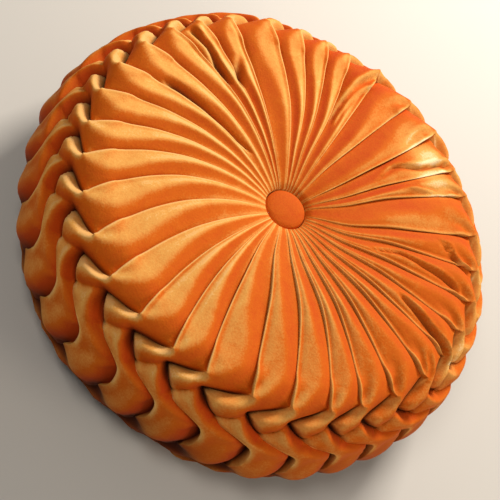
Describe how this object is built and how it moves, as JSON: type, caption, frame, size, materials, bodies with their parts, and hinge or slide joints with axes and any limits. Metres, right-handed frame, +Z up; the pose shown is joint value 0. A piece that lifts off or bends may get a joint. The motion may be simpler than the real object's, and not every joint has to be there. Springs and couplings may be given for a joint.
{
  "type": "pumpkin cushion",
  "caption": "Round pleated velvet pumpkin cushion, gathered to a covered button on each side, with a smocked rim.",
  "frame": {"origin": "on the surface that the cushion lies on, under the middle of its outline, 0.7 mm from the buttons' axis", "axes": "+Z up through both buttons, out of the face; +X towards the pleat near 0 degrees"},
  "size_m": [0.384, 0.3852, 0.1202],
  "materials": {
    "velvet_cover": "short-pile orange velvet, deep orange in the folds and pale gold where the pile turns",
    "velvet_button": "the same orange velvet stretched over a button"
  },
  "bodies": {
    "root": {"cover": "velvet_cover", "button_front": "velvet_button", "button_back": "velvet_button"}
  },
  "joints": []
}
